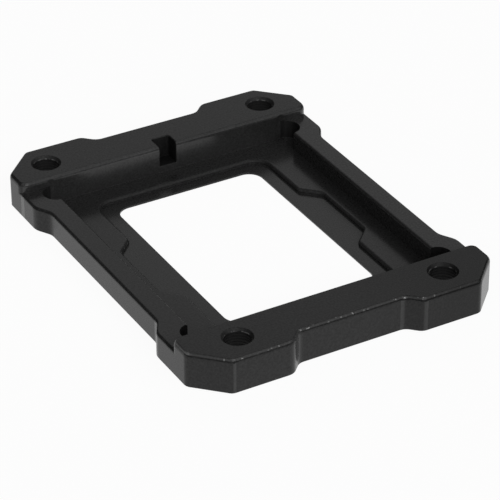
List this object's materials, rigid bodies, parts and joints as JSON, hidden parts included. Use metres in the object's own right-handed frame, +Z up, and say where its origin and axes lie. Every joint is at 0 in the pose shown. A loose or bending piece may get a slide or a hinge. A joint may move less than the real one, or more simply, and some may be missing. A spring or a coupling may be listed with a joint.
{
  "type": "cpu socket retention frame",
  "caption": "Flat black frame with a rounded central window, a stepped pocket and screw holes near its corners, which holds a processor down in its board socket.",
  "frame": {"origin": "under the middle of the frame, on the face it lies on (the cooler side)", "axes": "+X across the frame, +Y along its length towards the end bar with the notch, +Z up out of the pocket (the board side)"},
  "size_m": [0.054, 0.071, 0.006],
  "materials": {
    "anodised_aluminium": "bead blasted and black anodised, satin"
  },
  "bodies": {
    "root": {"contact_frame": "anodised_aluminium"}
  },
  "joints": []
}
